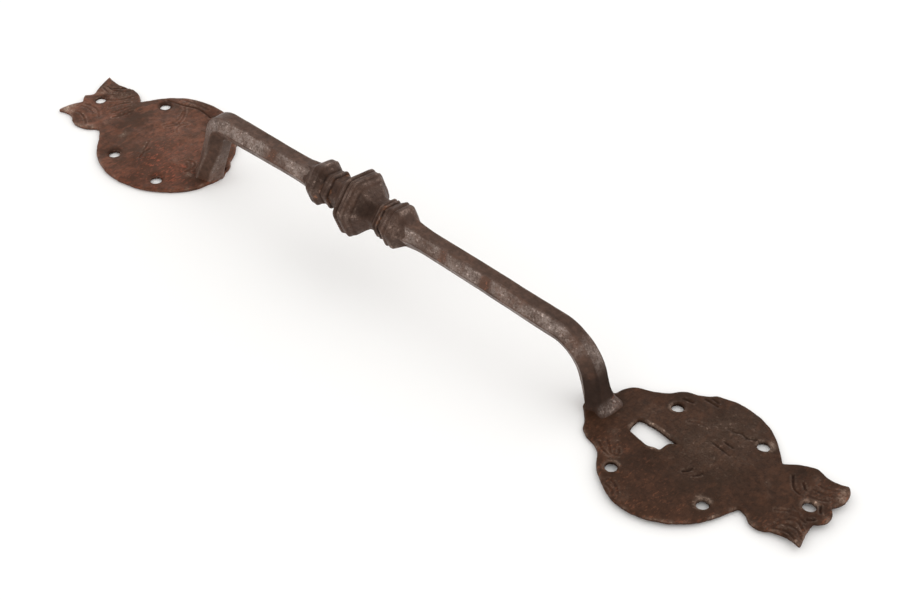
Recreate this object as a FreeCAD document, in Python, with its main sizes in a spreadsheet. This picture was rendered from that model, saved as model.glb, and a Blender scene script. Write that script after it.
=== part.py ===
import FreeCAD, Part
import math
import os
import Sketcher

# Wrought-iron door pull: a hexagonal grip bar with two bent legs, five forged
# collars on its middle, and an onion-shaped plate riveted to each foot.
# Frame: X runs along the grip from the upper plate to the lower plate, Z points
# away from the door, and the origin is at the middle of the back plane.

Vector = FreeCAD.Vector
PARTS_FOLDER = "parts"
BODY_SKETCH = "Sketcher::SketchObject"

doc = FreeCAD.newDocument("door_pull")
sheet = doc.addObject("Spreadsheet::Sheet", "sizes")

# All lengths in millimetres, all angles in degrees.
SIZES = {
    "plate_thick": 1.8,
    "upper_disc_x": -148.5,
    "lower_disc_x": 157.0,
    "nail_hole": 5.5,
    "leaf_hole": 5.5,
    "bar_corner": 6.0,
    "bar_height": 34.0,
    "bar_dip": 4.2,
    "dip_start_x": 14.5,
    "upper_bend_x": -108.5,
    "lower_bend_x": 103.9,
    "upper_bend_round": 10.0,
    "lower_bend_round": 20.0,
    "dip_round": 120.0,
    "upper_foot_x": -117.0,
    "lower_foot_x": 112.1,
    "leg_end": 5.0,
    "foot_half_length": 6.0,
    "foot_half_width": 9.0,
    "foot_rise": 11.0,
    "foot_neck": 6.6,
    "tenon_length": 6.0,
    "tenon_width": 9.0,
    "collar_roll": -10.0,
    "keyhole_x": -18.8,
    "keyhole_y": -0.4,
    "keyhole_length": 16.4,
    "keyhole_width": 9.6,
}
# Each collar is a row of (station along X, corner radius), from the upper end down.
COLLARS = {
    "upper_knop": [(-49.0, 7.0), (-43.5, 10.5), (-40.0, 10.7), (-36.5, 8.4)],
    "upper_ring": [(-36.5, 8.7), (-35.2, 9.2), (-33.0, 9.2), (-32.0, 8.3)],
    "centre_knop": [
        (-32.0, 8.1), (-29.4, 7.6), (-27.0, 9.0), (-21.5, 15.6),
        (-17.5, 15.6), (-9.5, 7.9), (-7.0, 7.6), (-5.3, 8.1),
    ],
    "lower_ring": [(-5.3, 8.4), (-4.2, 9.2), (-2.8, 9.2), (-2.0, 8.8)],
    "lower_knop": [(-2.0, 8.6), (1.5, 10.3), (5.0, 10.3), (11.0, 7.0)],
}
for collar, stations in COLLARS.items():
    for index, (station, corner) in enumerate(stations):
        SIZES[f"{collar}_station_{index}"] = station
        SIZES[f"{collar}_corner_{index}"] = corner

for row, (alias, value) in enumerate(SIZES.items(), start=1):
    sheet.set(f"A{row}", alias)
    sheet.set(f"B{row}", str(value))
    sheet.setAlias(f"B{row}", alias)
doc.recompute()


def size(alias):
    """The value of a spreadsheet cell."""
    return float(sheet.get(alias))


def origin_plane(body, role):
    """One of a body's own origin planes."""
    return next(item for item in body.Origin.OriginFeatures if item.Role == role)


def new_body(label):
    """A body whose label is its node name."""
    body = doc.addObject("PartDesign::Body", label)
    body.Label = label
    return body


def new_sketch(body, name, role, offset=Vector(), turn=0.0):
    """A sketch on one of the body's origin planes, shifted and turned in place."""
    sketch = body.newObject(BODY_SKETCH, name)
    sketch.AttachmentSupport = [(origin_plane(body, role), "")]
    sketch.MapMode = "FlatFace"
    rotation = FreeCAD.Rotation(Vector(0, 0, 1), turn)
    sketch.AttachmentOffset = FreeCAD.Placement(offset, rotation)
    return sketch


def add_polyline(sketch, points):
    """A closed outline of straight lines with joined ends."""
    closed = list(points) + [points[0]]
    first = sketch.GeometryCount
    for start, end in zip(closed, closed[1:]):
        sketch.addGeometry(Part.LineSegment(Vector(*start, 0), Vector(*end, 0)), False)
    sides = range(len(points))
    for side in sides:
        after = (side + 1) % len(points)
        sketch.addConstraint(Sketcher.Constraint("Coincident", first + side, 2, first + after, 1))


def add_hexagon(sketch, corner, expression):
    """A regular hexagon with a flat top, sized by the radius of its corner circle."""
    turns = [math.radians(60 * step) for step in range(6)]
    add_polyline(sketch, [(corner * math.cos(turn), corner * math.sin(turn)) for turn in turns])
    circle = sketch.addGeometry(Part.Circle(Vector(), Vector(0, 0, 1), corner), True)
    sketch.addConstraint(Sketcher.Constraint("Coincident", circle, 3, -1, 1))
    for side in range(6):
        sketch.addConstraint(Sketcher.Constraint("PointOnObject", side, 1, circle))
    for side in range(5):
        sketch.addConstraint(Sketcher.Constraint("Equal", side, side + 1))
    sketch.addConstraint(Sketcher.Constraint("PointOnObject", 0, 1, -1))
    radius = sketch.addConstraint(Sketcher.Constraint("Radius", circle, corner))
    sketch.setExpression(f"Constraints[{radius}]", expression)


def add_outline(sketch, start, steps):
    """A closed outline: a step of two points is an arc through the first to the second,
    and a step of one point is a straight line to it."""
    here = start
    for step in steps:
        there = step[-1]
        if len(step) == 2:
            edge = Part.Arc(Vector(*here, 0), Vector(*step[0], 0), Vector(*there, 0))
        else:
            edge = Part.LineSegment(Vector(*here, 0), Vector(*there, 0))
        sketch.addGeometry(edge, False)
        here = there
    sketch.addGeometry(Part.LineSegment(Vector(*here, 0), Vector(*start, 0)), False)


def pad(body, sketch, length):
    """A pad along the sketch's normal, as long as the sheet says."""
    feature = body.newObject("PartDesign::Pad", sketch.Name + "_pad")
    feature.Profile = sketch
    feature.setExpression("Length", length)
    return feature


def cut_through(body, sketch):
    """A pocket through everything on both sides of the sketch."""
    feature = body.newObject("PartDesign::Pocket", sketch.Name + "_cut")
    feature.Profile = sketch
    feature.Type = "ThroughAll"
    feature.Midplane = True
    return feature


def loft(body, sketches):
    """A faceted loft through a row of sketches."""
    feature = body.newObject("PartDesign::AdditiveLoft", sketches[0].Name + "_loft")
    feature.Profile = sketches[0]
    feature.Sections = sketches[1:]
    feature.Ruled = True
    return feature


def rounded_path(sketch, corners, rounds):
    """An open path of straight runs, with an arc of the given radius at each inner corner."""
    here = Vector(*corners[0], 0)
    for index, radius in enumerate(rounds, start=1):
        corner = Vector(*corners[index], 0)
        back = (Vector(*corners[index - 1], 0) - corner).normalize()
        ahead = (Vector(*corners[index + 1], 0) - corner).normalize()
        half_angle = back.getAngle(ahead) / 2
        reach = radius / math.tan(half_angle)
        bisector = (back + ahead).normalize()
        arc_middle = corner + bisector * (radius / math.sin(half_angle) - radius)
        arc_start = corner + back * reach
        arc_end = corner + ahead * reach
        sketch.addGeometry(Part.LineSegment(here, arc_start), False)
        sketch.addGeometry(Part.Arc(arc_start, arc_middle, arc_end), False)
        here = arc_end
    sketch.addGeometry(Part.LineSegment(here, Vector(*corners[-1], 0)), False)


def pipe(body, section, path):
    """A solid swept along a path."""
    feature = body.newObject("PartDesign::AdditivePipe", path.Name + "_pipe")
    feature.Profile = section
    feature.Spine = (path, [])
    return feature


def foot_outline(half_length, half_width):
    """A six-sided foot, longer across the door pull than along it."""
    flank = half_width / 2
    return [
        (half_length, -flank), (half_length, flank), (0, half_width),
        (-half_length, flank), (-half_length, -flank), (0, -half_width),
    ]


# Grip bar ---------------------------------------------------------------------
# The bar is swept outward from its middle to each foot, then each foot is spread
# onto its plate, and a rectangular tenon goes through the plate.

def build_grip_bar():
    body = new_body("grip_bar")
    height = size("bar_height")
    bend_low = height - size("bar_dip")
    legs = {
        "upper": ("upper_foot_x", (size("upper_bend_x"), height)),
        "lower": ("lower_foot_x", (size("lower_bend_x"), bend_low)),
    }
    for side, (foot_alias, bend) in legs.items():
        section = new_sketch(body, f"{side}_section", "YZ_Plane", Vector(0, height, 0))
        section.setExpression("AttachmentOffset.Base.y", "sizes.bar_height")
        add_hexagon(section, size("bar_corner"), "sizes.bar_corner")
        foot = (size(foot_alias), 0.0)
        run = size("leg_end") / bend[1]
        leg_end = (foot[0] + (bend[0] - foot[0]) * run, size("leg_end"))
        path = new_sketch(body, f"{side}_path", "XZ_Plane")
        if side == "upper":
            rounded_path(path, [(0, height), bend, leg_end], [size("upper_bend_round")])
        else:
            dip = (size("dip_start_x"), height)
            rounds = [size("dip_round"), size("lower_bend_round")]
            rounded_path(path, [(0, height), dip, bend, leg_end], rounds)
        doc.recompute()
        pipe(body, section, path)
        doc.recompute()
        build_foot(body, side, foot_alias, bend)
    return body


def build_foot(body, side, foot_alias, bend):
    """The spread foot above one plate, and its tenon through the plate."""
    foot_x = size(foot_alias)
    top_z = size("plate_thick") + size("foot_rise")
    lean = (bend[0] - foot_x) * top_z / bend[1]
    wide = new_sketch(body, f"{side}_foot_base", "XY_Plane", Vector(foot_x, 0, size("plate_thick")))
    wide.setExpression("AttachmentOffset.Base.x", f"sizes.{foot_alias}")
    wide.setExpression("AttachmentOffset.Base.z", "sizes.plate_thick")
    add_polyline(wide, foot_outline(size("foot_half_length"), size("foot_half_width")))
    narrow = new_sketch(body, f"{side}_foot_neck", "XY_Plane", Vector(foot_x + lean, 0, top_z))
    narrow.setExpression("AttachmentOffset.Base.z", "sizes.plate_thick + sizes.foot_rise")
    add_polyline(narrow, foot_outline(size("foot_neck") * 0.866, size("foot_neck")))
    doc.recompute()
    loft(body, [wide, narrow])
    tenon = new_sketch(body, f"{side}_tenon", "XY_Plane", Vector(foot_x, 0, 0))
    tenon.setExpression("AttachmentOffset.Base.x", f"sizes.{foot_alias}")
    half_x = size("tenon_length") / 2
    half_y = size("tenon_width") / 2
    add_polyline(tenon, [(-half_x, -half_y), (half_x, -half_y), (half_x, half_y), (-half_x, half_y)])
    pad(body, tenon, "sizes.plate_thick + 1")
    doc.recompute()


# Collars ----------------------------------------------------------------------
# Each collar is a faceted loft with the bar's own hexagon cut through it.

def build_collar(name):
    body = new_body(name)
    sections = []
    for index in range(len(COLLARS[name])):
        place = Vector(0, size("bar_height"), size(f"{name}_station_{index}"))
        section = new_sketch(body, f"{name}_{index}", "YZ_Plane", place, size("collar_roll"))
        section.setExpression("AttachmentOffset.Base.y", "sizes.bar_height")
        section.setExpression("AttachmentOffset.Base.z", f"sizes.{name}_station_{index}")
        add_hexagon(section, size(f"{name}_corner_{index}"), f"sizes.{name}_corner_{index}")
        sections.append(section)
    doc.recompute()
    loft(body, sections)
    doc.recompute()
    hole = new_sketch(body, f"{name}_bore", "YZ_Plane", Vector(0, size("bar_height"), 0))
    hole.setExpression("AttachmentOffset.Base.y", "sizes.bar_height")
    add_hexagon(hole, size("bar_corner"), "sizes.bar_corner")
    doc.recompute()
    body.Tip = cut_through(body, hole)
    doc.recompute()
    return body


# Plates -----------------------------------------------------------------------
# Outlines are measured from the centre of each plate's disc, with x towards the
# leaf. They start at the shoulder beside the foot and go round by the +Y side.

UPPER_START = (-35.8, 3.0)
UPPER_OUTLINE = [
    [(-34.4, 7.2), (-31.2, 10.2)],
    [(-29.4, 14.4), (-25.2, 19.0)],
    [(-15.6, 30.2), (-2.2, 34.6)],
    [(12.8, 33.7), (28.3, 25.9)],
    [(33.0, 19.6), (36.8, 12.4)],
    [(41.8, 16.2), (47.3, 17.7)],
    [(56.0, 15.4), (65.0, 16.6)],
    [(62.4, 9.0), (59.1, 1.8)],
    [(62.2, -2.0)],
    [(58.0, -6.2)],
    [(60.6, -12.0), (61.5, -18.5)],
    [(56.0, -16.8), (51.0, -18.5)],
    [(44.2, -20.2), (37.0, -15.8)],
    [(34.0, -15.0)],
    [(27.0, -21.5)],
    [(14.5, -31.7), (-1.0, -35.0)],
    [(-15.0, -32.6), (-27.0, -25.0)],
    [(-33.6, -17.6), (-36.4, -9.0)],
    [(-37.4, -6.0)],
    [(-37.4, 1.0)],
]
UPPER_HOLES = [(25.0, 18.7), (-14.5, 18.7), (12.9, -23.5), (-17.2, -23.5)]
UPPER_LEAF_HOLE = (53.0, 0.9)

LOWER_START = (-43.1, 9.3)
LOWER_OUTLINE = [
    [(-40.4, 16.4), (-35.1, 19.5)],
    [(-29.6, 22.0), (-25.6, 25.8)],
    [(-22.8, 29.1), (-18.6, 30.6)],
    [(-15.0, 32.7), (-11.6, 35.8)],
    [(4.0, 38.2), (22.9, 28.3)],
    [(28.7, 22.1)],
    [(34.0, 26.6), (40.4, 29.1)],
    [(46.8, 27.6), (53.4, 29.6)],
    [(56.2, 23.5), (53.3, 15.8)],
    [(56.5, 10.8), (52.8, 4.8)],
    [(53.8, -1.5), (55.5, -8.3)],
    [(48.5, -7.6), (42.5, -9.8)],
    [(38.2, -11.6), (33.0, -8.8)],
    [(29.0, -8.0)],
    [(26.0, -15.5)],
    [(15.5, -31.2), (-2.5, -38.2)],
    [(-10.0, -37.2), (-16.5, -33.8)],
    [(-23.0, -29.0), (-27.5, -22.5)],
    [(-30.5, -19.7), (-34.5, -18.2)],
    [(-40.8, -14.6), (-44.0, -8.0)],
    [(-49.5, -6.0)],
    [(-49.5, 6.5)],
]
LOWER_HOLES = [(-19.4, 19.2), (-19.4, -24.8), (18.2, 24.5), (18.2, -16.8)]
LOWER_LEAF_HOLE = (47.7, 10.5)


def add_circles(sketch, centres, alias):
    """Round holes of one size, with each diameter bound to the sheet."""
    for x, y in centres:
        circle = sketch.addGeometry(Part.Circle(Vector(x, y, 0), Vector(0, 0, 1), size(alias) / 2), False)
        diameter = sketch.addConstraint(Sketcher.Constraint("Diameter", circle, size(alias)))
        sketch.setExpression(f"Constraints[{diameter}]", f"sizes.{alias}")


def add_rectangle(sketch, centre, length, width):
    """A rectangle with its sides along the axes."""
    half_x = length / 2
    half_y = width / 2
    x, y = centre
    add_polyline(sketch, [
        (x - half_x, y - half_y), (x + half_x, y - half_y),
        (x + half_x, y + half_y), (x - half_x, y + half_y),
    ])


def build_plate(name, disc_alias, facing, start, steps, nail_holes, leaf_hole, foot_alias):
    """A flat plate: facing is +1 where the leaf points along +X, and -1 along -X."""
    body = new_body(name)
    disc_x = size(disc_alias)

    def placed(point):
        return (point[0] * facing + disc_x, point[1])

    outline = new_sketch(body, f"{name}_outline", "XY_Plane")
    add_outline(outline, placed(start), [[placed(point) for point in step] for step in steps])
    doc.recompute()
    pad(body, outline, "sizes.plate_thick")
    doc.recompute()
    nails = new_sketch(body, f"{name}_nails", "XY_Plane")
    add_circles(nails, [placed(point) for point in nail_holes], "nail_hole")
    add_circles(nails, [placed(leaf_hole)], "leaf_hole")
    doc.recompute()
    body.Tip = cut_through(body, nails)
    doc.recompute()
    slot = new_sketch(body, f"{name}_tenon_slot", "XY_Plane")
    add_rectangle(slot, (size(foot_alias), 0), size("tenon_length"), size("tenon_width"))
    doc.recompute()
    body.Tip = cut_through(body, slot)
    doc.recompute()
    return body


def build_upper_plate():
    return build_plate(
        "upper_plate", "upper_disc_x", -1, UPPER_START, UPPER_OUTLINE,
        UPPER_HOLES, UPPER_LEAF_HOLE, "upper_foot_x")


def build_lower_plate():
    """The lower plate also has the keyhole."""
    body = build_plate(
        "lower_plate", "lower_disc_x", 1, LOWER_START, LOWER_OUTLINE,
        LOWER_HOLES, LOWER_LEAF_HOLE, "lower_foot_x")
    keyhole = new_sketch(body, "keyhole", "XY_Plane")
    centre = (size("lower_disc_x") + size("keyhole_x"), size("keyhole_y"))
    add_rectangle(keyhole, centre, size("keyhole_length"), size("keyhole_width"))
    doc.recompute()
    body.Tip = cut_through(body, keyhole)
    doc.recompute()
    return body


def main():
    bodies = [build_grip_bar(), build_upper_plate(), build_lower_plate()]
    bodies += [build_collar(name) for name in COLLARS]
    doc.recompute()
    for item in doc.Objects:
        if "Invalid" in item.State or "Error" in item.State:
            raise RuntimeError(f"{item.Name} did not compute: {item.State}")
    for body in bodies:
        shape = body.Shape
        if shape.isNull() or not shape.isValid() or len(shape.Solids) != 1:
            raise RuntimeError(f"{body.Label} is not one valid solid")
    os.makedirs(PARTS_FOLDER, exist_ok=True)
    for body in bodies:
        body.Shape.exportStep(f"{PARTS_FOLDER}/{body.Label}.step")
        box = body.Shape.BoundBox
        print(f"{body.Label}: volume {body.Shape.Volume:.0f} mm3, "
              f"x {box.XMin:.1f}..{box.XMax:.1f}, y {box.YMin:.1f}..{box.YMax:.1f}, "
              f"z {box.ZMin:.1f}..{box.ZMax:.1f}")


main()
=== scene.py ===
import bmesh
import bpy
import math
import numpy as np
from mathutils import Matrix, Vector, geometry, kdtree, noise
from types import SimpleNamespace


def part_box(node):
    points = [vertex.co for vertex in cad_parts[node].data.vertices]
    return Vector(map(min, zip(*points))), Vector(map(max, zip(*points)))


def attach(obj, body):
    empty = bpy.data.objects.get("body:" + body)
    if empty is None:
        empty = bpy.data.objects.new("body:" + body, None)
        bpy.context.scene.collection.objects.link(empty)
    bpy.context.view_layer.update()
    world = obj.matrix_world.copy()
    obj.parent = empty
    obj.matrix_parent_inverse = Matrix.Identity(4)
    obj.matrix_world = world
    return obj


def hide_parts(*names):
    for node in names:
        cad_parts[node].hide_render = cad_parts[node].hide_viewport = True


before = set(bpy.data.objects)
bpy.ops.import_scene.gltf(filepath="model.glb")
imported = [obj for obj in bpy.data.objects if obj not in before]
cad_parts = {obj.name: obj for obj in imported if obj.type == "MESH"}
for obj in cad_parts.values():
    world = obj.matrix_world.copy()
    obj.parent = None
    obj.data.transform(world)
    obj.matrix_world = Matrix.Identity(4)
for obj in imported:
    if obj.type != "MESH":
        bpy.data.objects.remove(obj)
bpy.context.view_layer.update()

# A wrought-iron door pull, lying on its back on a pale floor. Every piece is rebuilt as a
# hammered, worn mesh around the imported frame. Shapes are worked out in millimetres in the
# frame's own axes, and new_piece() turns them into metres.
MM = 0.001


def box_mm(node):
    """The lowest and highest corners of a CAD node, in millimetres."""
    low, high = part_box(node)
    return low / MM, high / MM


# Sizes taken from the frame ---------------------------------------------------
UPPER_LOW, UPPER_HIGH = box_mm("upper_plate")
LOWER_HIGH = box_mm("lower_plate")[1]
KNOP_LOW, KNOP_HIGH = box_mm("centre_knop")
BAR_LOW, BAR_HIGH = box_mm("grip_bar")

PLATE_THICK = UPPER_HIGH.z
GRIP_HEIGHT = (KNOP_LOW.z + KNOP_HIGH.z) / 2
# Each disc's centre lies this far in from the tip of its leaf, and each foot from the bar's end.
UPPER_DISC_X = UPPER_LOW.x + 65.0
LOWER_DISC_X = LOWER_HIGH.x - 56.5
UPPER_FOOT_X = BAR_LOW.x + 6.0
LOWER_FOOT_X = BAR_HIGH.x - 6.0

# Sizes of the mesh work, in millimetres ---------------------------------------
UPPER_BEND_X = UPPER_FOOT_X + 8.5
LOWER_BEND_X = LOWER_FOOT_X - 8.2
LOWER_BEND_Z = GRIP_HEIGHT - 4.2
DIP_START_X = 14.5
# The radii of the upper bend, of the slight bend where the grip starts to dip and of the lower bend.
BEND_ROUNDS = (10.0, 120.0, 20.0)
# The bar's path ends at FOOT_Z, inside the plates, and nothing of the bar lies below LOWEST_Z.
FOOT_Z = 0.35
LOWEST_Z = 0.25
UPPER_FOOT_SHIFT = -2.6
LOWER_FOOT_SHIFT = 0.9
FOOT_FILLET = 3.7
UPPER_LEG_TWIST = math.radians(-14)
LOWER_LEG_TWIST = math.radians(10)
# All the collars are rolled round the bar by the same turn. Their bores lie inside the bar.
COLLAR_ROLL = math.radians(-10)
BORE_CORNER = 5.1
STROKE_SPACING = 0.3


# Helpers ------------------------------------------------------------------------

def ripple(points, lump, seed):
    """Smooth noise of about -1 to 1 at each point; lump is the size of its swells."""
    shift = Vector((seed * 17.3, seed * -9.1, seed * 4.7))
    return np.array([noise.noise(Vector(p) / lump + shift) for p in points])


def smooth_step(low, high, values):
    """0 below low, 1 above high and a smooth rise between."""
    share = np.clip((values - low) / (high - low), 0, 1)
    return share * share * (3 - 2 * share)


def nearest(points, marks):
    """The distance from each point to the nearest of the marks."""
    tree = kdtree.KDTree(len(marks))
    for index, mark in enumerate(marks):
        tree.insert((mark[0], mark[1], 0), index)
    tree.balance()
    return np.array([tree.find((p[0], p[1], 0))[2] for p in points])


def resample(points, spacing, closed):
    """Points evenly spaced along a line of straight runs."""
    line = np.array(points, float)
    if closed:
        line = np.vstack([line, line[:1]])
    steps = np.linalg.norm(np.diff(line, axis=0), axis=1)
    along = np.concatenate([[0], np.cumsum(steps)])
    count = max(int(round(along[-1] / spacing)), 2)
    wanted = np.linspace(0, along[-1], count + 1)
    if closed:
        wanted = wanted[:-1]
    return np.stack([np.interp(wanted, along, line[:, k]) for k in range(line.shape[1])], 1)


def stroke(points):
    """A smooth curve through a few points, as closely spaced points."""
    ends = [points[0], *points, points[-1]]
    curve = []
    for before, start, end, after in zip(ends, ends[1:], ends[2:], ends[3:]):
        p0, p1, p2, p3 = (np.array(p, float) for p in (before, start, end, after))
        for t in np.linspace(0, 1, 12):
            slope = p2 - p0
            bend = 2 * p0 - 5 * p1 + 4 * p2 - p3
            twist = 3 * p1 - p0 - 3 * p2 + p3
            curve.append(0.5 * (2 * p1 + slope * t + bend * t ** 2 + twist * t ** 3))
    return resample(curve, STROKE_SPACING, closed=False)


def new_piece(name, points, faces, fields, material, node):
    """A smooth mesh piece that rides on the root body and stands for a CAD node."""
    mesh = bpy.data.meshes.new(name)
    mesh.from_pydata([tuple(p * MM) for p in points], [], faces)
    mesh.update()
    for field, values in fields.items():
        attribute = mesh.attributes.new(field, "FLOAT", "POINT")
        attribute.data.foreach_set("value", np.asarray(values, np.float32))
    mesh.materials.append(material)
    mesh.polygons.foreach_set("use_smooth", [True] * len(mesh.polygons))
    piece = bpy.data.objects.new(name, mesh)
    bpy.context.scene.collection.objects.link(piece)
    bm = bmesh.new()
    bm.from_mesh(mesh)
    bmesh.ops.recalc_face_normals(bm, faces=bm.faces)
    bm.to_mesh(mesh)
    bm.free()
    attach(piece, "root")
    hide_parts(node)


# Iron -----------------------------------------------------------------------------
# Every piece carries three fields for its material: one where handling has worn the patina to
# grey metal and where highlights are painted; one where orange rust sits; and one where dirt has
# gathered and where shade is painted.

def iron_material(name, dark, brown, bare_and_highlight, rust, brown_share, clouding, freckling=0.45, sheen=0.16):
    """Old wrought iron: blotched patina, worn grey metal, rust specks and fine pitting, with painted
    highlights, glints and shade.
    """
    material = bpy.data.materials.new(name)
    material.use_nodes = True
    tree = material.node_tree
    nodes, links = tree.nodes, tree.links
    shader = nodes["Principled BSDF"]
    where = nodes.new("ShaderNodeTexCoord").outputs["Object"]
    stretch = nodes.new("ShaderNodeVectorMath")
    stretch.operation = "MULTIPLY"
    stretch.inputs[1].default_value = (1.0, 0.45, 1.0)
    links.new(where, stretch.inputs[0])
    drawn_out = stretch.outputs["Vector"]

    def noise_at(lump, detail, rough=0.6, place=where):
        node = nodes.new("ShaderNodeTexNoise")
        node.inputs["Scale"].default_value = 1 / (lump * MM)
        node.inputs["Detail"].default_value = detail
        node.inputs["Roughness"].default_value = rough
        links.new(place, node.inputs["Vector"])
        return node.outputs["Fac"]

    def field(name):
        node = nodes.new("ShaderNodeAttribute")
        node.attribute_name = name
        return node.outputs["Fac"]

    def fit(value, low, high, to_low=0.0, to_high=1.0):
        node = nodes.new("ShaderNodeMapRange")
        node.interpolation_type = "SMOOTHSTEP"
        for socket, number in zip(("From Min", "From Max", "To Min", "To Max"),
                                  (low, high, to_low, to_high)):
            node.inputs[socket].default_value = number
        links.new(value, node.inputs["Value"])
        return node.outputs["Result"]

    def calculate(operation, first, second):
        node = nodes.new("ShaderNodeMath")
        node.operation = operation
        node.use_clamp = operation != "SUBTRACT"
        for socket, value in zip(node.inputs, (first, second)):
            if isinstance(value, (int, float)):
                socket.default_value = value
            else:
                links.new(value, socket)
        return node.outputs["Value"]

    def blend(share, first, second):
        node = nodes.new("ShaderNodeMix")
        node.data_type = "RGBA"
        links.new(share, node.inputs["Factor"])
        for socket, value in ((node.inputs[6], first), (node.inputs[7], second)):
            if isinstance(value, tuple):
                socket.default_value = (*value, 1)
            else:
                links.new(value, socket)
        return node.outputs[2]

    # Patina: broad brown blotches and finer mottling over the dark scale.
    blotches = fit(noise_at(11, 5, 0.65), 0.62 - brown_share * 0.4, 0.95 - brown_share * 0.4)
    mottle = fit(noise_at(2.6, 4, 0.62), 0.32, 0.76)
    brown_mask = calculate("MULTIPLY", calculate("ADD", blotches, 0.25), calculate("ADD", mottle, 0.2))
    colour = blend(brown_mask, dark, brown)
    freckles = fit(noise_at(0.9, 3, 0.65), 0.35, 0.75, 0.0, freckling)
    shade = tuple(0.45 * c for c in dark)
    colour = blend(freckles, colour, blend(mottle, shade, brown))
    clouds = fit(noise_at(13, 4, 0.55, drawn_out), 0.46, 0.62, 0.0, clouding)
    colour = blend(clouds, colour, tuple(c * k for c, k in zip(dark, (0.80, 0.85, 0.80))))
    wisps = fit(noise_at(4.2, 4, 0.6, drawn_out), 0.54, 0.68, 0.0, clouding * 0.8)
    colour = blend(wisps, colour, tuple(c * k for c, k in zip(brown, (1.15, 1.10, 1.05))))

    # Grime in the hollows with painted shade, worn grey metal on the high places with painted highlights,
    # and rust in the seams.
    colour = blend(calculate("MULTIPLY", field("grime_and_shade"), 0.85), colour, tuple(0.3 * c for c in dark))
    streaks = fit(noise_at(5.0, 4, 0.6), 0.30, 0.62, 0.35, 1.0)
    dirt = fit(noise_at(0.9, 4, 0.75), 0.40, 0.64, 1.0, 0.25)
    worn = calculate("MULTIPLY", field("bare_and_highlight"), calculate("MULTIPLY", streaks, dirt))
    colour = blend(worn, colour, bare_and_highlight)
    # Painted glints: sparse bright specks of painted highlight on the worn metal.
    painted_glints = calculate("MULTIPLY", worn, fit(noise_at(1.7, 3, 0.6), 0.58, 0.68))
    colour = blend(painted_glints, colour, tuple(2.2 * c for c in bare_and_highlight))
    rust_grain = fit(noise_at(1.1, 4, 0.65, drawn_out), 0.53, 0.66, 0.15, 1.0)
    rusty = calculate("MULTIPLY", field("rust"), rust_grain)
    colour = blend(rusty, colour, rust)
    links.new(colour, shader.inputs["Base Color"])

    rough = fit(noise_at(3.0, 5), 0.3, 0.75, 0.40, 0.60)
    rough = calculate("ADD", rough, calculate("MULTIPLY", field("grime_and_shade"), 0.35))
    rough = calculate("SUBTRACT", rough, calculate("MULTIPLY", worn, 0.08))
    links.new(rough, shader.inputs["Roughness"])
    links.new(calculate("MULTIPLY", worn, 0.55), shader.inputs["Metallic"])
    shader.inputs["Specular IOR Level"].default_value = sheen

    # Pitting: small round pits and a fine grain.
    pits = nodes.new("ShaderNodeTexVoronoi")
    pits.inputs["Scale"].default_value = 1 / (1.7 * MM)
    links.new(where, pits.inputs["Vector"])
    pitted = fit(noise_at(6, 2), 0.35, 0.6)
    pit_depth = calculate("MULTIPLY", fit(pits.outputs["Distance"], 0.08, 0.42), pitted)
    grain = noise_at(0.55, 4, 0.7)
    height = calculate("ADD", calculate("MULTIPLY", grain, 0.45), calculate("MULTIPLY", pit_depth, 0.30))
    bump = nodes.new("ShaderNodeBump")
    bump.inputs["Strength"].default_value = 0.8
    bump.inputs["Distance"].default_value = 0.16 * MM
    links.new(height, bump.inputs["Height"])
    links.new(bump.outputs["Normal"], shader.inputs["Normal"])
    return material


BAR_IRON = iron_material(
    "bar_iron", dark=(0.059, 0.032, 0.0215), brown=(0.118, 0.062, 0.042),
    bare_and_highlight=(0.25, 0.197, 0.172), rust=(0.18, 0.072, 0.042), brown_share=0.6, clouding=0.15)
COLLAR_IRON = iron_material(
    "collar_iron", dark=(0.043, 0.022, 0.0145), brown=(0.088, 0.047, 0.032),
    bare_and_highlight=(0.24, 0.170, 0.140), rust=(0.30, 0.12, 0.055), brown_share=0.5, clouding=0.2, sheen=0.11)
UPPER_IRON = iron_material(
    "upper_plate_iron", dark=(0.067, 0.0315, 0.0183), brown=(0.155, 0.060, 0.034),
    bare_and_highlight=(0.36, 0.26, 0.20), rust=(0.26, 0.072, 0.039), brown_share=0.75, clouding=0.9, freckling=0.8,
    sheen=0.12)
LOWER_IRON = iron_material(
    "lower_plate_iron", dark=(0.0325, 0.0155, 0.0087), brown=(0.064, 0.029, 0.0162),
    bare_and_highlight=(0.27, 0.19, 0.145), rust=(0.18, 0.068, 0.036), brown_share=0.55, clouding=0.6, freckling=0.65,
    sheen=0.07)


# Six-sided shapes ------------------------------------------------------------------

# Rings have more points beside the six corners than across the facets.
FROM_CORNER = (0, 2, 5, 10, 17, 25, 35, 43, 50, 55, 58)
TURNS = np.radians([corner + step for corner in range(0, 360, 60) for step in FROM_CORNER])
ROUND_COUNT = len(TURNS)
BAR_SHARPNESS = 55
COLLAR_SHARPNESS = 15
# Facets, by where they face on the level grip: 90 degrees is up and 180 is -Y, the near side.
FAR_SLOPE, TOP, NEAR_SLOPE, NEAR_UNDER, UNDER = 30, 90, 150, 210, 270


def hexagon_reach(turns, sharpness):
    """How far a hexagon of corner radius 1 with softened corners reaches, at each turn."""
    flats = [abs(np.cos(turns - math.radians(side))) ** sharpness for side in (30, 90, 150)]
    return math.cos(math.radians(30)) / sum(flats) ** (1 / sharpness)


def facet_share(turns, side):
    """1 in the middle of the facet that faces that way, falling to 0 at its corners."""
    away = np.abs(np.angle(np.exp(1j * (turns - math.radians(side)))))
    return 1 - smooth_step(math.radians(22), math.radians(31), away)


def corner_share(turns):
    """1 along the hexagon's corners, falling to 0 on its facets."""
    off_corner = np.abs(np.mod(turns + math.pi / 6, math.pi / 3) - math.pi / 6)
    return 1 - smooth_step(math.radians(2), math.radians(8), off_corner)


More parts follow.
